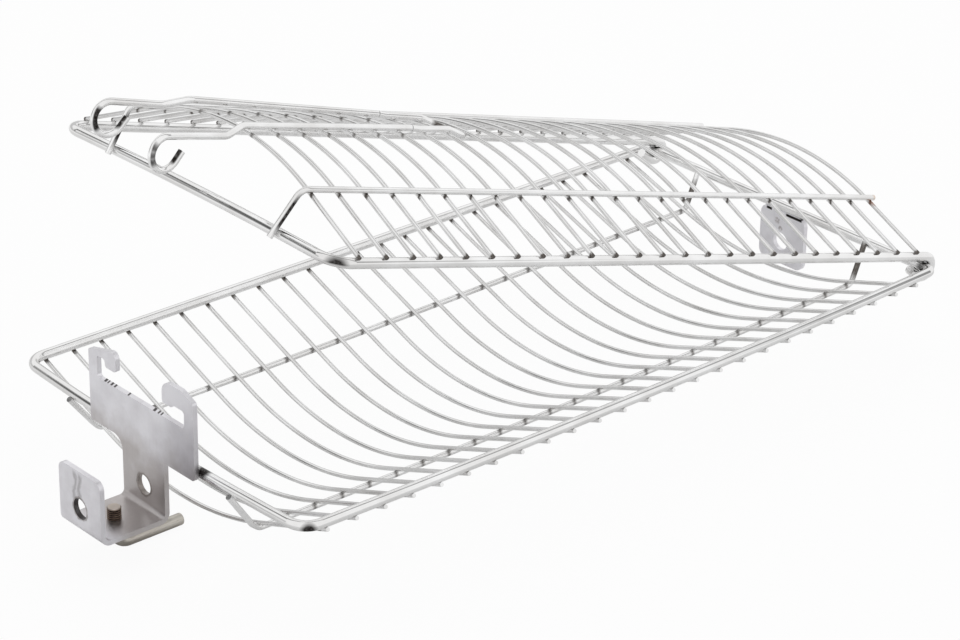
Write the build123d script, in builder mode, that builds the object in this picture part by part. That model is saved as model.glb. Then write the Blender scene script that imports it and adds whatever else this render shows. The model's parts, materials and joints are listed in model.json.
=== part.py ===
"""Hinged wire grill basket for a rotisserie spit, in millimetres.

X runs across the basket and Y along it, from the latch end (near) to the hinge end (far), with Z up.
The origin is on the spit axis at the middle of the tray's length. The lid stands partly open.
"""

import os
from math import asin, atan2, cos, hypot, radians, sin, tan

from build123d import *

os.makedirs("parts", exist_ok=True)

# Driving dimensions: the two wire shells
tray_width = 250.0
tray_length = 494.0
lid_width = 235.0
lid_length = 487.0
lid_open = radians(16.0)
frame_wire = 6.0
rib_wire = 2.5
rail_wire = 3.5
weld = 0.3

# Frames: tight bends beside the hinge and wider ones at the near end
near_corner = 12.0
far_corner = 5.0

# Bows: the tray's near and right wires bow outwards, and the lid's near wire bows inwards and runs askew
near_bow = 4.0
lid_bow = 4.2
lid_skew = 1.5
end_bow_run = 100.0
right_flare = 2.5
right_bow = 3.9
right_bow_run = 230.0

# Ribs: straight sides that rise at an angle from the long wires into a round crown
rib_count = 25
rib_groups = 5
tray_first_rib = 13.4
tray_last_rib = 18.0
tray_near_angle = radians(20.0)
tray_far_angle = radians(17.6)
tray_angle_swell = radians(1.45)
tray_crown_half = 72.0
tray_crown_sink = 13.0
tray_overhang = 3.0
lid_first_rib = 15.7
lid_last_rib = 12.2
lid_near_angle = radians(23.0)
lid_far_angle = radians(21.3)
lid_crown_half = 70.0
lid_overhang = 2.5

# Rails along the ribs
tray_rail_x = 73.0
lid_rail_x = 74.5
near_riser = 8.0
left_foot_lift = 5.5
right_foot_lift = 4.0
near_foot_run = 5.0
near_foot_bend = 6.0
far_riser = 14.5
lid_riser = 8.2
left_lean = 2.5
right_lean = 5.5
lid_rail_end = 10.0
near_riser_bend = 6.0
far_riser_bend = 5.0
lid_riser_bend = 7.0
near_riser_past = 1.5
lid_riser_past = 4.0
far_riser_past = 0.5
rail_bow_run = 200.0

# Hinge hooks of the lid round the tray's far end wire
hinge_gap = 0.4
hook_wrap = radians(22.0)
hook_tail = 11.0

# Latch: a U of spring wire over the crown of the lid
latch_wire = 4.0
latch_offset = -4.0
latch_lean = -1.0
latch_half = 10.5
latch_bend = 10.0
latch_rib = 9
latch_pivot = 138.0
latch_ramp = 6.5
latch_gap = 0.3
step_start = 9.5
step_end = -4.0
step_top = 42.4
step_drop = 4.6
step_half = 23.4
step_bend = 10.0
run_half = 27.9
curl_half = 30.8
left_reach = 36.0
right_reach = 45.0
curl_radius = 9.2
curl_turn = radians(240.0)
curl_tip = 6.5

# Near bracket: one bent piece of sheet steel; heights are over the plane of the tray frame
plate = 3.0
spit_drop = 24.0
spit_hole = 12.0
neck_width = 38.0
channel_gap = 39.2
channel_floor = -37.1
channel_bend = 4.5
upright_top = -1.2
upright_corner = 5.0
head_left = -48.3
head_right = 46.5
wing_bottom = -2.8
wing_fillet = 8.0
neck_lap = 12.0
slot_left = -40.5
slot_right = 38.5
slot_floor = 26.0
corner_round = 2.0

# Left hook of the near bracket: an arm with a finger that hangs in front of a notch
left_arm_low = 41.0
left_arm_high = 47.6
left_arm_round = 4.0
finger_left = -33.0
finger_right = -23.0
finger_bottom = 35.0
notch_top = 39.5

# Right hook of the near bracket: a blunt finger over a shallow pocket
right_arm_top = 48.0
right_arm_low = 43.7
right_arm_bend = 36.0
right_finger_tip = 19.0
right_finger_bottom = 34.4
right_finger_heel = 27.0
right_finger_round = 7.0
pocket_start = 30.0
pocket_top = 36.3

# Far plate under the far end wire
far_plate_width = 38.0
far_plate_bottom = -39.2
far_plate_corner = 6.0
far_plate_shift = 1.0

# Clamp: a threaded shank in the channel floor, with a bent rod for a handle
screw_place = 20.3
screw_diameter = 8.0
screw_clearance = 0.06
screw_pitch = 1.25
screw_tip = -30.15
screw_turns = 10
screw_chamfer = 0.7
thread_depth = 0.65
thread_crest = 0.3
thread_flank = 0.4
handle_wire = 7.0
handle_gap = 0.2
handle_height = -54.0
handle_reach = 44.6
handle_bend = 9.0
handle_round = 0.8

# Derived places
near_y = -tray_length / 2
far_y = tray_length / 2
tray_half = tray_width / 2
lid_half = lid_width / 2
hinge_lift = frame_wire + hinge_gap
tray_plane = Plane((0, 0, spit_drop))
hinge_plane = Plane((0, far_y, spit_drop), x_dir=(1, 0, 0), z_dir=(0, sin(lid_open), cos(lid_open)))
lid_plane = hinge_plane.offset(hinge_lift)


def save(part, label):
    """Name a finished piece and write it."""
    part.label = label
    export_step(part, f"parts/{label}.step")


def cross_plane(base, y):
    """A plane across a shell at y: its axes are the shell's width and height."""
    return Plane(base.from_local_coords((0, y, 0)), x_dir=base.x_dir, z_dir=-base.y_dir)


def long_plane(base, x):
    """A plane along a shell at x: its axes are the shell's length and height."""
    return Plane(base.from_local_coords((x, 0, 0)), x_dir=base.y_dir, z_dir=base.x_dir)


def start_plane(path):
    """The plane square to the start of a path."""
    return Plane(path @ 0, z_dir=path % 0)


def between(first, last, y, near_value, far_value):
    """A value that changes evenly from the first rib to the last."""
    return near_value + (far_value - near_value) * (y - first) / (last - first)


def tray_angle(y):
    """Angle of a tray rib's sides: it swells at mid-length."""
    first = near_y + tray_first_rib
    last = far_y - tray_last_rib
    swell = tray_angle_swell * (1 - (y / far_y) ** 2)
    return between(first, last, y, tray_near_angle, tray_far_angle) + swell


def lid_angle(y):
    return between(lid_first_rib - lid_length, -lid_last_rib, y, lid_near_angle, lid_far_angle)


def bow_point(bow, run, length):
    """Height of the corner that a rounded bow of a wire is cut from."""
    return bow / (1 - run / length)


def bow_radius(bow, run, length):
    """Radius of a bow over the middle part of a wire, which runs this far to both sides."""
    return run * length / 2 / bow_point(bow, run, length)


def tray_sides(y):
    """Places of the tray's two long wires: the right one flares to the near end and bows outwards."""
    flare = right_flare * (far_y - y) / tray_length
    bow = right_bow - y**2 / (2 * bow_radius(right_bow, right_bow_run, tray_length))
    return -tray_half, tray_half + flare + bow


def lid_sides(y):
    return -lid_half, lid_half


def tray_crown(y):
    """Half-width of the round part of a tray rib: it is narrower, and so deeper, at mid-length."""
    return tray_crown_half - tray_crown_sink * (1 - (y / far_y) ** 2)


def lid_crown(y):
    return lid_crown_half


def rib_rise(angle):
    """Height of a rib's centre line over the long wire that it is welded to."""
    return (frame_wire / 2 + rib_wire / 2 - weld) / cos(angle)


def rail_height(inset, angle):
    """Height of a rail's centre line across the straight side of a rib, at an inset from the long wire."""
    return rib_rise(angle) + inset * tan(angle) + (rib_wire / 2 + rail_wire / 2 - weld) / cos(angle)


def rib_places(first, last):
    """The places of the ribs along a shell."""
    pitch = (last - first) / (rib_count - 1)
    return [first + pitch * i for i in range(rib_count)]


def make_ribs(shell, base, places, sides_at, overhang, crown_at, angle_at, side):
    """Make a shell's ribs, in groups: side is 1 for an arch and -1 for a trough."""
    per_group = rib_count // rib_groups
    for group in range(rib_groups):
        with BuildPart() as ribs:
            for y in places[group * per_group : (group + 1) * per_group]:
                angle = angle_at(y)
                left, right = sides_at(y)
                rise = rib_rise(angle)
                end_height = side * (rise - overhang * tan(angle))
                peak = ((left + right) / 2, side * (rise + (right - left) / 2 * tan(angle)))
                with BuildLine(cross_plane(base, y)) as path:
                    FilletPolyline(
                        (left - overhang, end_height),
                        peak,
                        (right + overhang, end_height),
                        radius=crown_at(y) / sin(angle),
                    )
                with BuildSketch(start_plane(path.line)):
                    Circle(rib_wire / 2)
                sweep()
        save(ribs.part, f"{shell}_ribs_{group + 1}")


def riser_end(run, height, past, inside):
    """The end of a riser, from its foot: it passes the end wire at the depth of a weld.

    run and height lead from the foot to the end wire. inside is 1 for a riser that passes between
    the wire and the foot, and -1 for one that passes beyond the wire.
    """
    seat = frame_wire / 2 + rail_wire / 2 - weld
    lean = atan2(run, height) - inside * asin(seat / hypot(run, height))
    length = (run**2 + height**2 - seat**2) ** 0.5 + past
    return length * sin(lean), length * cos(lean)


def make_rail(label, plane, points, bends):
    """Make a rail from its corner points."""
    with BuildPart() as rail:
        with BuildLine(plane) as path:
            FilletPolyline(*points, radius=bends)
        with BuildSketch(start_plane(path.line)):
            Circle(rail_wire / 2)
        sweep()
    save(rail.part, label)


# Tray frame: one closed ring of wire
near_bow_radius = bow_radius(near_bow, end_bow_run, tray_width)
right_bow_radius = bow_radius(right_bow, right_bow_run, tray_length)
right_middle = tray_half + right_flare / 2 + bow_point(right_bow, right_bow_run, tray_length)
with BuildPart() as tray_frame:
    with BuildLine(tray_plane) as ring:
        FilletPolyline(
            (-tray_half, far_y),
            (-tray_half, near_y),
            (0, near_y - bow_point(near_bow, end_bow_run, tray_width)),
            (tray_half + right_flare, near_y),
            (right_middle, 0),
            (tray_half, far_y),
            radius=[far_corner, near_corner, near_bow_radius, near_corner, right_bow_radius, far_corner],
            close=True,
        )
    with BuildSketch(start_plane(ring.line)):
        Circle(frame_wire / 2)
    sweep()
save(tray_frame.part, "tray_frame")

# Tray ribs hang under the frame
tray_places = rib_places(near_y + tray_first_rib, far_y - tray_last_rib)
make_ribs("tray", tray_plane, tray_places, tray_sides, tray_overhang, tray_crown, tray_angle, -1)

# Tray rails run under the ribs and rise to the end wires: past the near one, up to the far one
near_wire_y = near_y - near_bow + tray_rail_x**2 / (2 * near_bow_radius)
near_foot = near_y + near_riser
far_foot = far_y - far_riser


def tray_rail_height(side, y):
    """Depth of a tray rail under the frame."""
    inset = abs(tray_sides(y)[side > 0]) - tray_rail_x
    return rail_height(inset, tray_angle(y))


for side, name, foot_lift in ((-1, "left", left_foot_lift), (1, "right", right_foot_lift)):
    near_depth = tray_rail_height(side, near_foot + near_foot_run)
    far_depth = tray_rail_height(side, far_foot)
    foot_depth = near_depth - foot_lift
    near_rise = riser_end(near_foot - near_wire_y, foot_depth, near_riser_past, -1)
    far_rise = riser_end(far_riser, far_depth, far_riser_past, 1)
    points = [
        (near_foot - near_rise[0], near_rise[1] - foot_depth),
        (near_foot, -foot_depth),
        (near_foot + near_foot_run, -near_depth),
        (far_foot, -far_depth),
        (far_foot + far_rise[0], far_rise[1] - far_depth),
    ]
    bends = [near_riser_bend, near_foot_bend, far_riser_bend]
    rail_run = far_foot - near_foot - near_foot_run
    middle_depth = (near_depth + far_depth) / 2
    sag = tray_rail_height(side, 0) - middle_depth
    if sag > weld:
        points.insert(3, (0, -middle_depth - bow_point(sag, rail_bow_run, rail_run)))
        bends.insert(2, bow_radius(sag, rail_bow_run, rail_run))
    make_rail(f"tray_rail_{name}", long_plane(tray_plane, side * tray_rail_x), points, bends)

# Lid frame: a U of wire whose ends hook round the tray's far end wire
lid_bow_radius = bow_radius(lid_bow, end_bow_run, lid_width)
wrap_y = -hinge_lift * sin(hook_wrap)
wrap_z = -hinge_lift * (1 + cos(hook_wrap))
tail_y = wrap_y - hook_tail * cos(hook_wrap)
tail_z = wrap_z + hook_tail * sin(hook_wrap)
with BuildPart() as lid_frame:
    with BuildLine(lid_plane) as path:
        for side in (-1, 1):
            hook_x = side * lid_half
            Line((hook_x, tail_y, tail_z), (hook_x, wrap_y, wrap_z))
            ThreePointArc((hook_x, wrap_y, wrap_z), (hook_x, hinge_lift, -hinge_lift), (hook_x, 0, 0))
        FilletPolyline(
            (-lid_half, 0, 0),
            (-lid_half, -lid_length, 0),
            (0, lid_skew / 2 + bow_point(lid_bow, end_bow_run, lid_width) - lid_length, 0),
            (lid_half, lid_skew - lid_length, 0),
            (lid_half, 0, 0),
            radius=[near_corner, lid_bow_radius, near_corner],
        )
    lid_path = path.wires()[0]
    with BuildSketch(start_plane(lid_path)):
        Circle(frame_wire / 2)
    sweep(path=lid_path)
save(lid_frame.part, "lid_frame")

# Lid ribs stand on the frame
lid_places = rib_places(lid_first_rib - lid_length, -lid_last_rib)
make_ribs("lid", lid_plane, lid_places, lid_sides, lid_overhang, lid_crown, lid_angle, 1)

# Lid rails lie on the ribs, drop past the near end wire with an inward lean and stop short at the hinge
lid_foot = lid_riser - lid_length
lid_near_rise = rail_height(lid_half - lid_rail_x, lid_angle(lid_foot))
lid_far_rise = rail_height(lid_half - lid_rail_x, lid_angle(-lid_rail_end))
for side, name, lean in ((-1, "left", left_lean), (1, "right", right_lean)):
    weld_x = lid_rail_x - lean
    lid_bowed_y = lid_bow - weld_x**2 / (2 * lid_bow_radius) - lid_length
    lid_wire_y = lid_bowed_y + lid_skew * (lid_half + side * weld_x) / lid_width
    lid_drop = riser_end(lid_foot - lid_wire_y, lid_near_rise, lid_riser_past, -1)
    make_rail(
        f"lid_rail_{name}",
        lid_plane,
        [
            (side * weld_x, lid_foot - lid_drop[0], lid_near_rise - lid_drop[1]),
            (side * lid_rail_x, lid_foot, lid_near_rise),
            (side * lid_rail_x, -lid_rail_end, lid_far_rise),
        ],
        lid_riser_bend,
    )


def crown_height(y, x):
    """Height of the top of the lid's ribs at a place on their crown."""
    angle = lid_angle(y)
    crown = lid_crown_half / sin(angle)
    tangent_height = rib_rise(angle) + (lid_half - lid_crown_half) * tan(angle)
    return tangent_height + (crown**2 - x**2) ** 0.5 - crown * cos(angle) + rib_wire / 2


# Latch bridge: the closed end of the spring wire, welded over two ribs and under the next
pivot_y = latch_pivot - lid_length
ramp_y = pivot_y + latch_ramp
over_y = lid_places[latch_rib - 1]
end_y = lid_places[latch_rib]
step_y = step_start - lid_length
ride = latch_wire / 2 - weld
tuck = -rib_wire - ride


def leg_point(side, y, lift):
    """A point on a leg, lifted over the ribs: the legs spread from the closed end to the step."""
    middle = latch_offset + between(end_y, step_y, y, 0, latch_lean)
    x = middle + side * between(end_y, step_y, y, latch_half, step_half)
    return (x, y, crown_height(y, x) + lift)


leg_lift = latch_wire / 2 + latch_gap
with BuildPart() as latch_bridge:
    with BuildLine(lid_plane) as path:
        FilletPolyline(
            leg_point(-1, pivot_y, leg_lift),
            leg_point(-1, ramp_y, ride),
            leg_point(-1, over_y, ride),
            leg_point(-1, end_y, tuck),
            leg_point(1, end_y, tuck),
            leg_point(1, over_y, ride),
            leg_point(1, ramp_y, ride),
            leg_point(1, pivot_y, leg_lift),
            radius=latch_bend,
        )
    with BuildSketch(start_plane(path.line)):
        Circle(latch_wire / 2)
    sweep()
save(latch_bridge.part, "latch_bridge")

# Latch legs: they run over the near end, step down and end in finger curls
leg_start = pivot_y - latch_gap
latch_middle = latch_offset + latch_lean
curl_top = step_top - step_drop
for side, name, reach in ((-1, "left", left_reach), (1, "right", right_reach)):
    root_x, _, root_height = leg_point(side, pivot_y, leg_lift)
    run_start = Vector(latch_middle + side * run_half, step_end - lid_length, curl_top)
    run_end = Vector(latch_middle + side * curl_half, -reach - lid_length, curl_top)
    outward = (run_end - run_start).normalized()
    upward = Vector(0, 0, 1)
    curl_centre = run_end - upward * curl_radius
    half_turn = outward * sin(curl_turn / 2) + upward * cos(curl_turn / 2)
    full_turn = outward * sin(curl_turn) + upward * cos(curl_turn)
    tip_way = outward * cos(curl_turn) - upward * sin(curl_turn)
    curl_middle = curl_centre + half_turn * curl_radius
    curl_end = curl_centre + full_turn * curl_radius
    with BuildPart() as leg:
        with BuildLine(lid_plane) as path:
            FilletPolyline(
                (root_x, leg_start, root_height),
                (latch_middle + side * step_half, step_y, step_top),
                tuple(run_start),
                tuple(run_end),
                radius=step_bend,
            )
            ThreePointArc(tuple(run_end), tuple(curl_middle), tuple(curl_end))
            Line(tuple(curl_end), tuple(curl_end + tip_way * curl_tip))
        leg_path = path.wires()[0]
        with BuildSketch(start_plane(leg_path)):
            Circle(latch_wire / 2)
        sweep(path=leg_path)
    save(leg.part, f"latch_leg_{name}")

# Near bracket: a channel for the spit end, whose inner wall widens into a head with two hooks
plate_back = near_y - near_bow - frame_wire / 2 + weld
neck_mid = plate_back - plate / 2
upright_mid = neck_mid - channel_gap - plate
floor_mid = channel_floor - plate / 2
neck_half = neck_width / 2
neck_end = wing_bottom - neck_lap
screw_y = neck_mid - plate / 2 - screw_place
with BuildPart() as near_bracket:
    with BuildSketch(long_plane(tray_plane, 0)):
        with BuildLine():
            FilletPolyline(
                (neck_mid, slot_floor / 2),
                (neck_mid, floor_mid),
                (upright_mid, floor_mid),
                (upright_mid, upright_top),
                radius=channel_bend,
            )
        trace(line_width=plate)
    extrude(amount=neck_half, both=True)
    upright_edges = near_bracket.edges().filter_by(Axis.Y).sort_by(Axis.Y)[:2]
    fillet(upright_edges, radius=upright_corner)
    with BuildSketch(cross_plane(tray_plane, plate_back)):
        with BuildLine():
            outline = [
                (head_left, wing_bottom, corner_round),
                (head_left, left_arm_low, corner_round),
                (finger_right, left_arm_high, left_arm_round),
                (finger_right, finger_bottom, corner_round),
                (finger_left, finger_bottom, corner_round),
                (finger_left, notch_top, corner_round),
                (slot_left, notch_top, corner_round),
                (slot_left, slot_floor, corner_round),
                (slot_right, slot_floor, corner_round),
                (slot_right, pocket_top, corner_round),
                (pocket_start, pocket_top, corner_round),
                (right_finger_heel, right_finger_bottom, corner_round),
                (right_finger_tip, right_finger_bottom, corner_round),
                (right_finger_tip, right_arm_top, right_finger_round),
                (right_arm_bend, right_arm_top, right_finger_round),
                (head_right, right_arm_low, corner_round),
                (head_right, wing_bottom, corner_round),
                (neck_half, wing_bottom, 0),
                (neck_half, neck_end, 0),
                (-neck_half, neck_end, 0),
                (-neck_half, wing_bottom, wing_fillet),
            ]
            FilletPolyline(*[spot[:2] for spot in outline], radius=[spot[2] for spot in outline], close=True)
        make_face()
    extrude(amount=plate)
    with BuildSketch(cross_plane(tray_plane, plate_back)):
        with Locations((0, -spit_drop)):
            Circle(spit_hole / 2)
    extrude(amount=channel_gap + 2 * plate, mode=Mode.SUBTRACT)
    with BuildSketch(tray_plane.offset(channel_floor)):
        with Locations((0, screw_y)):
            Circle(screw_diameter / 2 + screw_clearance)
    extrude(amount=-plate, mode=Mode.SUBTRACT)
save(near_bracket.part, "near_bracket")

# Far plate: it hangs under the far end wire
far_plate_top = weld - frame_wire / 2
with BuildPart() as far_plate:
    with BuildSketch(cross_plane(tray_plane, far_y + plate / 2)):
        with Locations((far_plate_shift, (far_plate_top + far_plate_bottom) / 2)):
            RectangleRounded(far_plate_width, far_plate_top - far_plate_bottom, far_plate_corner)
        with Locations((0, -spit_drop)):
            Circle(spit_hole / 2, mode=Mode.SUBTRACT)
    extrude(amount=plate)
save(far_plate.part, "far_plate")

# Clamp screw: a threaded shank that runs in the channel floor
crest_y = screw_y + screw_diameter / 2
root_y = crest_y - thread_depth
screw_end = screw_tip - screw_chamfer - screw_turns * screw_pitch
profile = [(screw_y, screw_end), (screw_y, screw_tip), (crest_y - screw_chamfer, screw_tip)]
for turn in range(screw_turns):
    crest_top = screw_tip - screw_chamfer - turn * screw_pitch
    crest_bottom = crest_top - thread_crest
    profile.append((crest_y, crest_top))
    profile.append((crest_y, crest_bottom))
    profile.append((root_y, crest_bottom - thread_flank))
    profile.append((root_y, crest_top - screw_pitch + thread_flank))
profile.append((crest_y, screw_end))
with BuildPart() as clamp_screw:
    with BuildSketch(long_plane(tray_plane, 0)):
        with BuildLine():
            Polyline(*profile, close=True)
        make_face()
    revolve(axis=Axis((0, screw_y, 0), (0, 0, 1)))
save(clamp_screw.part, "clamp_screw")

# Clamp handle: a plain rod that bends out of the screw's line
with BuildPart() as clamp_handle:
    with BuildLine(long_plane(tray_plane, 0)) as path:
        FilletPolyline(
            (screw_y, screw_end - handle_gap),
            (screw_y, handle_height),
            (screw_y + handle_reach, handle_height),
            radius=handle_bend,
        )
    with BuildSketch(start_plane(path.line)):
        Circle(handle_wire / 2)
    sweep()
    fillet(clamp_handle.edges().sort_by(Axis.Y)[-1], radius=handle_round)
save(clamp_handle.part, "clamp_handle")
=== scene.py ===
"""Looks for a hinged wire rotisserie basket: materials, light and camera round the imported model."""

import json
from math import radians

import bpy
from mathutils import Matrix, Vector


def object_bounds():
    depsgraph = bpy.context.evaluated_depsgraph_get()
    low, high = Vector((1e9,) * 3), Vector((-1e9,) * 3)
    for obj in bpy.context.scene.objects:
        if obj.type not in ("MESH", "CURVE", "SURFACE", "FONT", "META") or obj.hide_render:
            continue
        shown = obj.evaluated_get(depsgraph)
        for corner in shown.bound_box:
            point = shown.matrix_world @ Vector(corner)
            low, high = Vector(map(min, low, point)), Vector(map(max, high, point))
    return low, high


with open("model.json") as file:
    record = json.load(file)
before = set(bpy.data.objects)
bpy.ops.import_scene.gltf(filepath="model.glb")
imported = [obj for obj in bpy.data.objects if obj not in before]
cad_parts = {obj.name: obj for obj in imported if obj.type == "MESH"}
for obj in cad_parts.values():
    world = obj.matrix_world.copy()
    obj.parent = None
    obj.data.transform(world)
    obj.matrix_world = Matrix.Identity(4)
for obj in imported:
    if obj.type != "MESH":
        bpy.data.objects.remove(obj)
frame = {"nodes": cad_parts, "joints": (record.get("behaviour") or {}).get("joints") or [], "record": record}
nodes = frame["nodes"]
cad_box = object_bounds()


def linear(red, green, blue):
    """A display colour, 0 to 255, as the linear colour that shaders use."""
    shares = [value / 255 for value in (red, green, blue)]
    return (*[s / 12.92 if s <= 0.04045 else ((s + 0.055) / 1.055) ** 2.4 for s in shares], 1.0)


def grey(share):
    """A linear grey."""
    return (share, share, share, 1.0)


def both_sides(place, reach):
    """A place and its reach, on the left and on the right of the basket."""
    x, y, z = place
    return [((side * x, y, z), reach) for side in (-1, 1)]


def joint_place(name):
    """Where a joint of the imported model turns, in metres."""
    return next(joint["pos_m"] for joint in frame["joints"] if joint["name"] == name)


def opening_middle(name):
    """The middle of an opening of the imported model, in metres."""
    openings = frame["record"]["physics"]["openings"]
    low, high = next(opening["box_m"] for opening in openings if opening["name"] == name)
    return (Vector(low) + Vector(high)) / 2


# Camera, solved from the two wire frames in the photograph, in metres
CAMERA_PLACE = Vector((1.2472, -1.1363, 0.8437))
CAMERA_AIM = Vector((0.0, -0.0121, 0.0239))
CAMERA_ROLL = radians(1.094)
CAMERA_LENS = 118.98
CAMERA_CLIP = (0.05, 100.0)

# Stage: the floor is white to the camera, and metal near it sees it as it is lit
WHITE = grey(1.0)
FLOOR_SIZE = 12.0
FLOOR_GAP = 0.0004
FLOOR_COLOUR = grey(0.86)
FLOOR_ROUGHNESS = 0.9
FLOOR_SHADE = 0.06
LIT_REACH = 0.25
LIT_END = 1.6

# Light: a soft box overhead in a white room
SKY_FILL = 0.55
BOX_PLACE = Vector((-0.35, 0.25, 1.5))
BOX_AIM = Vector((0.0, 0.0, 0.05))
BOX_SIZE = 1.6
BOX_WATTS = 11.0

# Dark parts of the room, which only metal shows: a gap across the ceiling, and a low wall on the left
GAP_WAY = (0.64, -0.65, 0.41)
GAP_COLOUR = grey(0.1)
GAP_CORE = 0.02
GAP_EDGE = 0.13
GAP_RISE = (0.1, 0.25)
GAP_FADE = (-0.5, 0.2)
GAP_SHARES = (1.0, 0.8)
WALL_COLOUR = grey(0.62)
WALL_SIDE = 0.45
WALL_FADE = 0.15
WALL_TOP = 0.28
WALL_SOFT = 0.12

# Noise: its detail, and the ranges that most of it lies in
NOISE_DETAIL = 4.0
NOISE_ROUGHNESS = 0.55
NOISE_RANGE = (0.3, 0.7)
PATCH_RANGE = (0.35, 0.7)
EVENLY = (1.0, 1.0, 1.0)
UP = (0.0, 0.0, 1.0)

# Sockets of a mix node: its share, its two colours, and its result
MIX_SHARE = 0
MIX_FIRST = 6
MIX_SECOND = 7
MIX_RESULT = 2

# Colours of steel, of what heat, wear and welding leave on it, and of painted shade
BRIGHT_STEEL = linear(244, 244, 244)
DULL_STEEL = linear(226, 225, 224)
RIB_BRIGHT = linear(236, 236, 236)
RIB_DULL = linear(214, 213, 212)
SHEET_BRIGHT = linear(238, 237, 241)
SHEET_DULL = linear(222, 220, 224)
ROD_BRIGHT = linear(206, 202, 194)
ROD_DULL = linear(178, 171, 162)
THREAD_BROWN = linear(150, 132, 118)
THREAD_RUST = linear(96, 80, 70)
THREAD_PALE = linear(206, 196, 186)
# Dark grey for weld scale, and for painted contact shade where wires meet and cross
WELD_SCALE_AND_SHADE = linear(96, 91, 87)
# Near black for oxide in the thread's grooves, and for painted black shade in corners, hollows and on shaded
# sides of wires
BLACK_SCALE_AND_SHADE = linear(34, 30, 28)
HEAT_BROWN = linear(146, 92, 60)
HEAT_STRAW = linear(214, 186, 160)
HEAT_GREY = linear(150, 138, 126)
SHADE_GREY = linear(150, 147, 151)
RUB_BLACK = linear(80, 76, 76)
STREAK_GREY = linear(120, 115, 115)
BURR_BROWN = linear(104, 92, 82)
SPATTER_BROWN = linear(120, 104, 96)

# Drawn wire: die lines along it, wide patches, and its roughness where it is smoothest and roughest
DIE_NOISE = 900.0
DIE_BUMP = 0.08
BUMP_DEPTH = 0.0001
PATCH_NOISE = 35.0
ALONG_X = (0.04, 1.0, 1.0)
ALONG_Y = (1.0, 0.04, 1.0)
WIRE_GLOSS = (0.08, 0.16)
FRAME_GLOSS = (0.04, 0.1)

# Marks round places, both stains and painted shade: the dark share of their reach, their grain, and how they
# fade in round a wire
SPOT_CORE = 0.5
SPOT_NOISE = 600.0
SPOT_RANGE = (0.25, 0.6)
SPOT_LEAST = 0.88
SIDE_FADE = (-0.35, 0.0)

# Frames: painted black shade, each a place and its reach in metres
TRAY_CORNER = ((0.1284, -0.2443, 0.0224), 0.0054)
BESIDE_BRACKET = ((0.0478, -0.2505, 0.026), 0.006)
HINGES = both_sides((0.1175, *joint_place("lid_hinge")[1:]), 0.0052)
LID_CORNER = ((0.1165, -0.2165, 0.1605), 0.008)
LID_CORNER_SIDE = (0.1, 0.1, 0.99)

# Ribs: bands of weld scale and painted contact shade. A band, here and below, is its middle, and its core
# and edge from there
TRAY_RIB_WELDS = (0.1245, 0.0005, 0.0028)
LID_RIB_WELDS = (0.12, 0.0006, 0.0022)
LID_RAIL_WELDS = (0.0755, 0.0003, 0.0017)
WELD_NOISE = 500.0
WELD_WOBBLE = 0.0008
RIB_TINT = ((0.0768, 0.2455, 0.0535), 0.005)

# Painted shade on the lid's ribs beside the latch legs: where each leg is across, at its near end and its
# root
LATCH_LEGS = ((-0.0284, -0.0184), (0.0184, 0.0098))
LATCH_LENGTH = (-0.2107, -0.0757)
LEG_SHADE = (0.0032, 0.0004, 0.0018)
LEG_SHADE_FADE = (-0.07, -0.075)
LEG_SHADE_SHARE = 0.7

# Rails: painted contact shade at each rib that crosses a tray rail, dark risers with painted shade on one
# side of the lid's, and an end that heat has tinted
TRAY_RIB_FIRST = -0.2336
TRAY_RIB_PITCH = 0.019275
CROSSING = (0.9, 0.015, 0.1)
CROSSING_SHARE = 0.75
RIBBED_LENGTH = (0.0, 0.2335, 0.2345)
TRAY_RISERS = [*both_sides((0.073, 0.24, 0.01), 0.012), ((0.073, 0.2425, 0.021), 0.008)]
# Painted black shade on the shaded side of the lid's risers
LID_RISERS = both_sides((0.0735, -0.2113, 0.1735), 0.014)
RISER_SIDE = (0.55, 0.62, -0.55)
RAIL_TINT = ((0.0745, 0.25, 0.056), 0.007)

# Latch: places of painted shade on each curl, along Y and Z from its middle, and the side of the wire that
# the painted shade is on
CURLS = (opening_middle("left_curl"), opening_middle("right_curl"))
CURL_TURN = ((-0.0078, 0.0052), (-0.0092, 0.0018), (-0.0092, -0.0015))
CURL_TIP = ((0.0068, -0.0055), (0.0088, -0.002), (0.0108, 0.0015))
CURL_REACH = 0.0045
TURN_SIDE = (0.67, 0.74, 0.0)
TIP_SIDE = (-0.67, -0.6, 0.44)
# Painted shade inside the latch's closed end
CLOSED_END = ((-0.0142, -0.0345, 0.1488), 0.007)

# Satin sheet: upright brushing, wide patches, and its roughness
BRUSH_NOISE = 700.0
BRUSH_STRETCH = (1.0, 1.0, 0.06)
BRUSH_BUMP = 0.12
SHEET_PATCH_NOISE = 60.0
SHEET_GLOSS = (0.3, 0.42)

# Near bracket: a heat tint low on its inner faces, and painted shade on its right wing, most at its bottom
HEAT_NOISE = 45.0
HEAT_WOBBLE = 0.01
HEAT_FADE = (0.036, 0.012)
HEAT_SHARE = 0.5
INNER_FADE = (-0.292, -0.28)
SHADE_ACROSS = (0.012, 0.046)
SHADE_HEIGHT = (0.06, 0.02)
SHADE_SHARES = (0.1, 0.5)

# Near bracket: where the latch has rubbed the ledge, each with half its length
LEDGE = (0.05, 0.0006, 0.001)
LEDGE_MIDDLE = -0.2552
LEDGE_FACING = (0.7, 0.8)
RUB_SLANT = 0.5
RUB_EDGE = 0.0005
LEDGE_RUBS = (
    (-0.0343, 0.0007), (-0.0318, 0.0003), (-0.0286, 0.0006), (-0.0255, 0.0005),
    (-0.0128, 0.0004), (0.0106, 0.0008), (0.0144, 0.0004), (0.0169, 0.0003),
)

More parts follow.
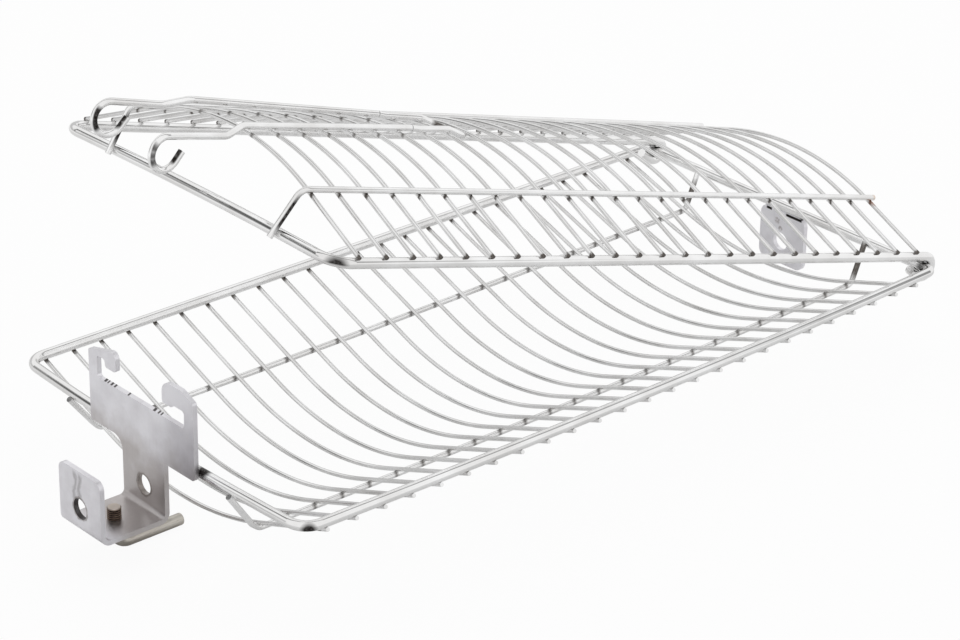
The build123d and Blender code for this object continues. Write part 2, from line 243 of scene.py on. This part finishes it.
# Near bracket: streaks over the hole in the outer wall, burrs round both holes, and painted shade in the
# outer bore
OUTER_FACE = (-0.2975, -0.2985)
STREAK_HEIGHT = (0.0125, 0.007, 0.0095)
STREAK_PLACES = (-0.0045, 0.0)
STREAK_NOISE = 130.0
STREAK_WOBBLE = 0.0018
STREAK_CORE = 0.0004
STREAK_EDGE = 0.0024
STREAK_SHARE = 0.45
BURR = (0.0063, 0.0003, 0.0012)
BURR_NOISE = 300.0
BURR_WOBBLE = 0.0006
BURR_SHARE = 0.6
OUTER_WALL = (-0.294, -0.2955)
BORE = (0.0062, 0.0061)
BORE_SHARE = 0.85

# Far plate: painted black shade in the crevice beside its weld, and spatter under it
WELD_SHADE_BAND = (0.0198, 0.0007, 0.0011)
WELD_SHADE_RUNS = ((0.0105, 0.0065, 0.007), (-0.011, 0.002, 0.0025))
SPATTER = (((-0.0005, 0.2455, 0.009), 0.0022), ((-0.0035, 0.2455, 0.0135), 0.0028))
SPECK_NOISE = 800.0
SPECK_RANGE = (0.42, 0.56)
SPECK_SHARES = (0.1, 0.6)

# Clamp screw and its handle
THREAD_TOP = -0.00685
THREAD_PITCH = 0.00125
THREAD_ROOT = (0.62, 0.12, 0.32)
THREAD_PALE_DEPTH = 0.0006
THREAD_GLOSS = (0.35, 0.5)
RUST_NOISE = 400.0
ROD_NOISE = 500.0
ROD_STRETCH = (1.0, 0.08, 1.0)
ROD_GLOSS = (0.28, 0.4)
ROD_BUMP = 0.1


class Nodes:
    """A node tree, with short ways to add nodes to it."""

    def __init__(self, tree):
        self.tree = tree

    def add(self, kind, inputs=None, **settings):
        """Add a node. An input is a value, or the output of another node."""
        node = self.tree.nodes.new(kind)
        for key, value in settings.items():
            setattr(node, key, value)
        for key, value in (inputs or {}).items():
            if isinstance(value, bpy.types.NodeSocket):
                self.tree.links.new(value, node.inputs[key])
            else:
                node.inputs[key].default_value = value
        return node

    def math(self, operation, first, second=0.0):
        """A number from two numbers."""
        return self.add("ShaderNodeMath", {0: first, 1: second}, operation=operation).outputs["Value"]

    def measure(self, operation, first, second=(0.0, 0.0, 0.0)):
        """A number from two vectors, such as their distance."""
        return self.add("ShaderNodeVectorMath", {0: first, 1: second}, operation=operation).outputs["Value"]

    def product(self, first, *others):
        """Several shares, multiplied."""
        for other in others:
            first = self.math("MULTIPLY", first, other)
        return first

    def most(self, *shares):
        """The highest of several shares."""
        total = 0.0
        for share in shares:
            total = self.math("MAXIMUM", total, share)
        return total

    def remap(self, value, low, high, to_low=0.0, to_high=1.0):
        """A value's place between two limits, as a place between two others."""
        inputs = {"Value": value, "From Min": low, "From Max": high, "To Min": to_low, "To Max": to_high}
        return self.add("ShaderNodeMapRange", inputs).outputs["Result"]

    def band(self, value, middle, core, edge):
        """1 where a value is within a core of a middle, falling to 0 at an edge from it."""
        away = self.math("ABSOLUTE", self.math("SUBTRACT", value, middle))
        return self.remap(away, core, edge, 1.0, 0.0)

    def blend(self, share, first, second):
        """Mix two colours."""
        inputs = {MIX_SHARE: share, MIX_FIRST: first, MIX_SECOND: second}
        return self.add("ShaderNodeMix", inputs, data_type="RGBA").outputs[MIX_RESULT]


class Shader(Nodes):
    """A material with a principled shader."""

    def __init__(self, name, **values):
        self.material = bpy.data.materials.new(name)
        self.material.use_nodes = True
        super().__init__(self.material.node_tree)
        self.surface = self.tree.nodes["Principled BSDF"]
        for socket, value in values.items():
            self.surface.inputs[socket.replace("_", " ")].default_value = value

    def spot(self):
        """The place on the object, in metres."""
        return self.add("ShaderNodeTexCoord").outputs["Object"]

    def axis(self, letter):
        """One coordinate of the place on the object, in metres."""
        return self.add("ShaderNodeSeparateXYZ", {0: self.spot()}).outputs[letter]

    def facing(self, side):
        """How far the surface faces a side, from -1 to 1."""
        return self.measure("DOT_PRODUCT", self.add("ShaderNodeNewGeometry").outputs["Normal"], side)

    def near(self, point, reach, core):
        """1 within a core round a point on the object, falling to 0 at a reach from it, in metres."""
        return self.remap(self.measure("DISTANCE", self.spot(), point), core, reach, 1.0, 0.0)

    def noise(self, scale, stretch=EVENLY):
        """Noise on the object, with a stretch for each axis."""
        place = self.add("ShaderNodeMapping", {"Vector": self.spot(), "Scale": stretch}).outputs["Vector"]
        inputs = {"Vector": place, "Scale": scale, "Detail": NOISE_DETAIL, "Roughness": NOISE_ROUGHNESS}
        return self.add("ShaderNodeTexNoise", inputs).outputs["Fac"]

    def wobble(self, value, scale, reach):
        """A value that noise moves by up to a reach, so that the edge of a stain isn't straight."""
        return self.math("ADD", value, self.remap(self.noise(scale), *NOISE_RANGE, -reach, reach))

    def phase(self, value, first, pitch):
        """How far a value is through one pitch of a row, from 0 to 1."""
        return self.math("FRACT", self.math("DIVIDE", self.math("SUBTRACT", value, first), pitch))

    def patched(self, scale, first, second):
        """A colour that drifts between two, in patches."""
        return self.blend(self.remap(self.noise(scale), *PATCH_RANGE), first, second)

    def feed(self, socket, output):
        """Link an output to a socket of the surface."""
        self.tree.links.new(output, self.surface.inputs[socket])

    def bump(self, height, strength):
        """Raise the surface by fine lines."""
        inputs = {"Height": height, "Strength": strength, "Distance": BUMP_DEPTH}
        self.feed("Normal", self.add("ShaderNodeBump", inputs).outputs["Normal"])

    def stained_and_shaded(self, colour, stains_and_shade):
        """Finish with a colour and the stains and painted shade over it, each a function for its share, and
        its colour.
        """
        for share, mark_colour in stains_and_shade:
            colour = self.blend(share(self), colour, mark_colour)
        self.feed("Base Color", colour)
        return self.material


def drawn_wire(name, stretch, stains_and_shade, bright=BRIGHT_STEEL, dull=DULL_STEEL, gloss=WIRE_GLOSS):
    """Bright drawn stainless wire, with faint die lines along it, stains and painted shade."""
    wire = Shader(name, Metallic=1.0)
    die_lines = wire.noise(DIE_NOISE, stretch)
    wire.feed("Roughness", wire.remap(die_lines, *NOISE_RANGE, *gloss))
    wire.bump(die_lines, DIE_BUMP)
    return wire.stained_and_shaded(wire.patched(PATCH_NOISE, bright, dull), stains_and_shade)


def satin_sheet(name, stains_and_shade):
    """Satin sheet steel, with fine brushing, stains and painted shade."""
    sheet = Shader(name, Metallic=1.0)
    brushing = sheet.noise(BRUSH_NOISE, BRUSH_STRETCH)
    sheet.feed("Roughness", sheet.remap(brushing, *NOISE_RANGE, *SHEET_GLOSS))
    sheet.bump(brushing, BRUSH_BUMP)
    return sheet.stained_and_shaded(sheet.patched(SHEET_PATCH_NOISE, SHEET_BRIGHT, SHEET_DULL), stains_and_shade)


def spots(*places, side=None):
    """A mark round each of some places, a point and a reach, and on one side of a wire if it's given; stains
    and painted shade both use it.
    """

    def share(shader):
        total = shader.most(*[shader.near(point, reach, reach * SPOT_CORE) for point, reach in places])
        if side:
            total = shader.product(total, shader.remap(shader.facing(side), *SIDE_FADE))
        return shader.product(total, shader.remap(shader.noise(SPOT_NOISE), *SPOT_RANGE, SPOT_LEAST, 1.0))

    return share


def side_bands(middle, core, edge):
    """Weld scale and painted contact shade on both sides of the basket, where wires are welded at a distance
    from its middle.
    """

    def share(shader):
        side = shader.math("ABSOLUTE", shader.axis("X"))
        return shader.band(shader.wobble(side, WELD_NOISE, WELD_WOBBLE), middle, core, edge)

    return share


def crossings(shader):
    """Painted contact shade on a tray rail, on the near side of each rib that crosses it."""
    along = shader.axis("Y")
    marks = shader.band(shader.phase(along, TRAY_RIB_FIRST, TRAY_RIB_PITCH), *CROSSING)
    return shader.product(marks, shader.band(along, *RIBBED_LENGTH), CROSSING_SHARE)


def beside_legs(shader):
    """Painted shade on the lid's ribs beside the two latch legs, which spread towards the near end."""
    across = shader.axis("X")
    along = shader.axis("Y")
    marks = []
    for leg_ends in LATCH_LEGS:
        leg = shader.remap(along, *LATCH_LENGTH, *leg_ends)
        marks.append(shader.band(shader.math("SUBTRACT", across, leg), *LEG_SHADE))
    sprung = shader.remap(along, *LEG_SHADE_FADE, 0.0, LEG_SHADE_SHARE)
    return shader.product(shader.most(*marks), sprung)


def curl_spots(ways, side):
    """Painted shade at some places of both curls, on one side of the wire."""
    places = [(curl + Vector((0.0, *way)), CURL_REACH) for curl in CURLS for way in ways]
    return spots(*places, side=side)


def frame_steel():
    """The two frames, with painted black shade in the near corners, beside the bracket and in the hinge."""
    # Painted black shade in the tray's near corner, beside the bracket, in both hinges and in the lid's near
    # corner
    scale = spots(TRAY_CORNER, BESIDE_BRACKET, *HINGES)
    lid_corner_shade = spots(LID_CORNER, side=LID_CORNER_SIDE)
    stains_and_shade = [(scale, BLACK_SCALE_AND_SHADE), (lid_corner_shade, BLACK_SCALE_AND_SHADE)]
    return drawn_wire("frame_wire_steel", ALONG_Y, stains_and_shade, gloss=FRAME_GLOSS)


def tray_rib_steel():
    """The tray's ribs, with weld scale and painted contact shade at their welds to the frame."""
    stains_and_shade = [(side_bands(*TRAY_RIB_WELDS), WELD_SCALE_AND_SHADE)]
    return drawn_wire("tray_rib_steel", ALONG_X, stains_and_shade, RIB_BRIGHT, RIB_DULL)


def lid_rib_steel():
    """The lid's ribs: weld scale and painted contact shade at their welds, painted shade beside the latch,
    and one end that heat has tinted.
    """
    welds = [(side_bands(*weld), WELD_SCALE_AND_SHADE) for weld in (LID_RIB_WELDS, LID_RAIL_WELDS)]
    stains_and_shade = [*welds, (beside_legs, WELD_SCALE_AND_SHADE), (spots(RIB_TINT), HEAT_BROWN)]
    return drawn_wire("lid_rib_steel", ALONG_X, stains_and_shade, RIB_BRIGHT, RIB_DULL)


def tray_rail_steel():
    """The tray's rails: painted contact shade at each rib, and dark risers at the hinge end."""
    stains_and_shade = [(crossings, WELD_SCALE_AND_SHADE), (spots(*TRAY_RISERS), WELD_SCALE_AND_SHADE)]
    return drawn_wire("tray_rail_steel", ALONG_Y, stains_and_shade)


def lid_rail_steel():
    """The lid's rails: painted black shade on one side of the risers, and an end that heat has tinted."""
    riser_shade = spots(*LID_RISERS, side=RISER_SIDE)
    return drawn_wire("lid_rail_steel", ALONG_Y, [(riser_shade, BLACK_SCALE_AND_SHADE), (spots(RAIL_TINT), HEAT_STRAW)])


def latch_steel():
    """The latch: painted black shade on each curl's outer turn and along its tip, and painted shade on the
    closed end.
    """
    turns = curl_spots(CURL_TURN, TURN_SIDE)
    tips = curl_spots(CURL_TIP, TIP_SIDE)
    stains_and_shade = [(turns, BLACK_SCALE_AND_SHADE), (tips, BLACK_SCALE_AND_SHADE), (spots(CLOSED_END), WELD_SCALE_AND_SHADE)]
    return drawn_wire("latch_wire_steel", ALONG_Y, stains_and_shade)


def heat_tint(sheet):
    """Brown from heat, low on the neck and in the channel."""
    height = sheet.wobble(sheet.axis("Z"), HEAT_NOISE, HEAT_WOBBLE)
    low = sheet.remap(height, *HEAT_FADE, 0.0, HEAT_SHARE)
    return sheet.product(low, sheet.remap(sheet.axis("Y"), *INNER_FADE))


def wing_shade(sheet):
    """Painted shade on the right wing, most of all at its bottom."""
    aside = sheet.remap(sheet.axis("X"), *SHADE_ACROSS)
    return sheet.product(aside, sheet.remap(sheet.axis("Z"), *SHADE_HEIGHT, *SHADE_SHARES))


def ledge_rubs(sheet):
    """Slanted marks on the ledge, where the latch has rubbed it."""
    upward = sheet.remap(sheet.facing(UP), *LEDGE_FACING)
    depth = sheet.math("SUBTRACT", sheet.axis("Y"), LEDGE_MIDDLE)
    slanted = sheet.math("ADD", sheet.axis("X"), sheet.product(depth, RUB_SLANT))
    marks = [sheet.band(slanted, place, half, half + RUB_EDGE) for place, half in LEDGE_RUBS]
    return sheet.product(sheet.band(sheet.axis("Z"), *LEDGE), upward, sheet.most(*marks))


def spit_streak(place):
    """A soft streak on the outer wall, over its hole."""

    def share(sheet):
        across = sheet.wobble(sheet.axis("X"), STREAK_NOISE, STREAK_WOBBLE)
        streak = sheet.band(across, place, STREAK_CORE, STREAK_EDGE)
        outside = sheet.remap(sheet.axis("Y"), *OUTER_FACE)
        return sheet.product(streak, sheet.band(sheet.axis("Z"), *STREAK_HEIGHT), outside, STREAK_SHARE)

    return share


def from_spit(sheet):
    """The distance from the spit's axis, in metres."""
    inputs = {"X": sheet.axis("X"), "Z": sheet.axis("Z")}
    return sheet.measure("LENGTH", sheet.add("ShaderNodeCombineXYZ", inputs).outputs["Vector"])


def hole_burr(sheet):
    """A brown burr round each spit hole."""
    burr = sheet.band(sheet.wobble(from_spit(sheet), BURR_NOISE, BURR_WOBBLE), *BURR)
    return sheet.product(burr, BURR_SHARE)


def outer_bore(sheet):
    """Painted dark shade inside the outer wall's hole."""
    inside = sheet.remap(from_spit(sheet), *BORE)
    return sheet.product(inside, sheet.remap(sheet.axis("Y"), *OUTER_WALL), BORE_SHARE)


def bracket_steel():
    """The near bracket: tinted by heat, scuffed where the spit and the latch rub, with painted shade on its
    right wing and in its outer bore.
    """
    streaks = [(spit_streak(place), STREAK_GREY) for place in STREAK_PLACES]
    stains_and_shade = [(heat_tint, HEAT_GREY), (wing_shade, SHADE_GREY), (ledge_rubs, RUB_BLACK), *streaks]
    return satin_sheet("bracket_steel", [*stains_and_shade, (hole_burr, BURR_BROWN), (outer_bore, BLACK_SCALE_AND_SHADE)])


def spatter(sheet):
    """Brown specks under the far plate's weld."""
    specks = sheet.remap(sheet.noise(SPECK_NOISE), *SPECK_RANGE, *SPECK_SHARES)
    return sheet.product(spots(*SPATTER)(sheet), specks)


def weld_crevice_shade(sheet):
    """Painted black shade in the crevice beside the far plate's weld to the end wire."""
    across = sheet.axis("X")
    runs = sheet.most(*[sheet.band(across, *run) for run in WELD_SHADE_RUNS])
    return sheet.product(sheet.band(sheet.axis("Z"), *WELD_SHADE_BAND), runs)


def far_plate_steel():
    """The far plate: brown spatter, and painted black shade beside its weld."""
    return satin_sheet("far_plate_steel", [(spatter, SPATTER_BROWN), (weld_crevice_shade, BLACK_SCALE_AND_SHADE)])


def thread_roots(thread):
    """The bottoms of the thread's grooves."""
    return thread.band(thread.phase(thread.axis("Z"), THREAD_TOP, -THREAD_PITCH), *THREAD_ROOT)


def pale_top(thread):
    """The tip of the screw."""
    return thread.remap(thread.axis("Z"), THREAD_TOP, THREAD_TOP + THREAD_PALE_DEPTH)


def thread_steel():
    """Oxidised screw thread, black in its grooves, with a paler top."""
    thread = Shader("dark_thread", Metallic=1.0)
    rust = thread.noise(RUST_NOISE)
    thread.feed("Roughness", thread.remap(rust, *NOISE_RANGE, *THREAD_GLOSS))
    brown = thread.blend(thread.remap(rust, *NOISE_RANGE), THREAD_BROWN, THREAD_RUST)
    return thread.stained_and_shaded(brown, [(thread_roots, BLACK_SCALE_AND_SHADE), (pale_top, THREAD_PALE)])


def rod_steel():
    """Warm grey satin rod."""
    rod = Shader("satin_rod", Metallic=1.0)
    streaks = rod.noise(ROD_NOISE, ROD_STRETCH)
    rod.feed("Base Color", rod.blend(rod.remap(streaks, *NOISE_RANGE), ROD_BRIGHT, ROD_DULL))
    rod.feed("Roughness", rod.remap(streaks, *NOISE_RANGE, *ROD_GLOSS))
    rod.bump(streaks, ROD_BUMP)
    return rod.material


def dress():
    """Give each node its material: the first entry that its name starts with."""
    made = {
        "tray_frame": frame_steel(),
        "tray_ribs": tray_rib_steel(),
        "tray_rail": tray_rail_steel(),
        "lid_ribs": lid_rib_steel(),
        "lid_rail": lid_rail_steel(),
        "latch": latch_steel(),
        "near_bracket": bracket_steel(),
        "far_plate": far_plate_steel(),
        "clamp_screw": thread_steel(),
        "clamp_handle": rod_steel(),
    }
    made["lid_frame"] = made["tray_frame"]
    for name, node in nodes.items():
        node.data.materials.clear()
        node.data.materials.append(next(made[start] for start in made if name.startswith(start)))


def floor_paint(low):
    """Pale paint that the camera sees as white, and metal nearby as it is lit."""
    paint = Shader("pale_floor", Base_Color=FLOOR_COLOUR, Roughness=FLOOR_ROUGHNESS)
    seen = paint.add("ShaderNodeEmission", {"Color": WHITE, "Strength": 1.0}).outputs["Emission"]
    path = paint.add("ShaderNodeLightPath").outputs
    far = paint.math("SUBTRACT", 1.0, paint.near((0.0, 0.0, low), LIT_END, LIT_REACH))
    mirrored = paint.product(paint.most(path["Is Glossy Ray"], path["Is Transmission Ray"]), far)
    direct = paint.product(path["Is Camera Ray"], 1.0 - FLOOR_SHADE)
    shaders = {0: paint.most(direct, mirrored), 1: paint.surface.outputs["BSDF"], 2: seen}
    mix = paint.add("ShaderNodeMixShader", shaders).outputs["Shader"]
    paint.tree.links.new(mix, paint.tree.nodes["Material Output"].inputs["Surface"])
    return paint.material


def make_floor():
    """A plain pale floor just under the object."""
    low = cad_box[0].z - FLOOR_GAP
    half = FLOOR_SIZE / 2
    corners = [(-half, -half, low), (half, -half, low), (half, half, low), (-half, half, low)]
    mesh = bpy.data.meshes.new("floor")
    mesh.from_pydata(corners, [], [(0, 1, 2, 3)])
    mesh.materials.append(floor_paint(low))
    floor = bpy.data.objects.new("floor", mesh)
    bpy.context.scene.collection.objects.link(floor)


def make_world():
    """A white room for the camera and for metal, with dark parts that only metal shows."""
    world = bpy.data.worlds.new("studio")
    world.use_nodes = True
    room = Nodes(world.node_tree)
    way = room.add("ShaderNodeTexCoord").outputs["Generated"]
    axes = room.add("ShaderNodeSeparateXYZ", {0: way}).outputs
    path = room.add("ShaderNodeLightPath").outputs
    across = room.math("ABSOLUTE", room.measure("DOT_PRODUCT", way, GAP_WAY))
    gap = room.product(
        room.remap(across, GAP_CORE, GAP_EDGE, 1.0, 0.0),
        room.remap(axes["Z"], *GAP_RISE),
        room.remap(axes["X"], *GAP_FADE, *GAP_SHARES),
        path["Is Glossy Ray"],
    )
    left = room.remap(axes["X"], -WALL_SIDE - WALL_FADE, -WALL_SIDE, 1.0, 0.0)
    low = room.remap(axes["Z"], WALL_TOP, WALL_TOP + WALL_SOFT, 1.0, 0.0)
    wall = room.product(left, low, path["Is Glossy Ray"])
    colour = room.blend(gap, room.blend(wall, WHITE, WALL_COLOUR), GAP_COLOUR)
    seen = room.most(path["Is Camera Ray"], path["Is Glossy Ray"], path["Is Transmission Ray"])
    ground = world.node_tree.nodes["Background"]
    world.node_tree.links.new(colour, ground.inputs["Color"])
    world.node_tree.links.new(room.remap(seen, 0.0, 1.0, SKY_FILL, 1.0), ground.inputs["Strength"])
    bpy.context.scene.world = world


def make_soft_box():
    """A square soft light overhead, which metal doesn't show."""
    data = bpy.data.lights.new("soft_box", "AREA")
    data.shape = "SQUARE"
    data.size = BOX_SIZE
    data.energy = BOX_WATTS
    lamp = bpy.data.objects.new("soft_box", data)
    lamp.location = BOX_PLACE
    lamp.visible_glossy = False
    lamp.rotation_euler = (BOX_AIM - BOX_PLACE).to_track_quat("-Z", "Y").to_euler()
    bpy.context.scene.collection.objects.link(lamp)


def make_camera():
    """The photograph's camera."""
    data = bpy.data.cameras.new("camera")
    data.lens = CAMERA_LENS
    data.clip_start, data.clip_end = CAMERA_CLIP
    camera = bpy.data.objects.new("camera", data)
    turn = (CAMERA_AIM - CAMERA_PLACE).to_track_quat("-Z", "Y").to_matrix().to_4x4()
    camera.matrix_world = Matrix.Translation(CAMERA_PLACE) @ turn @ Matrix.Rotation(CAMERA_ROLL, 4, "Z")
    bpy.context.scene.collection.objects.link(camera)
    bpy.context.scene.camera = camera


dress()
make_floor()
make_world()
make_soft_box()
make_camera()
bpy.context.scene.view_settings.view_transform = "Standard"
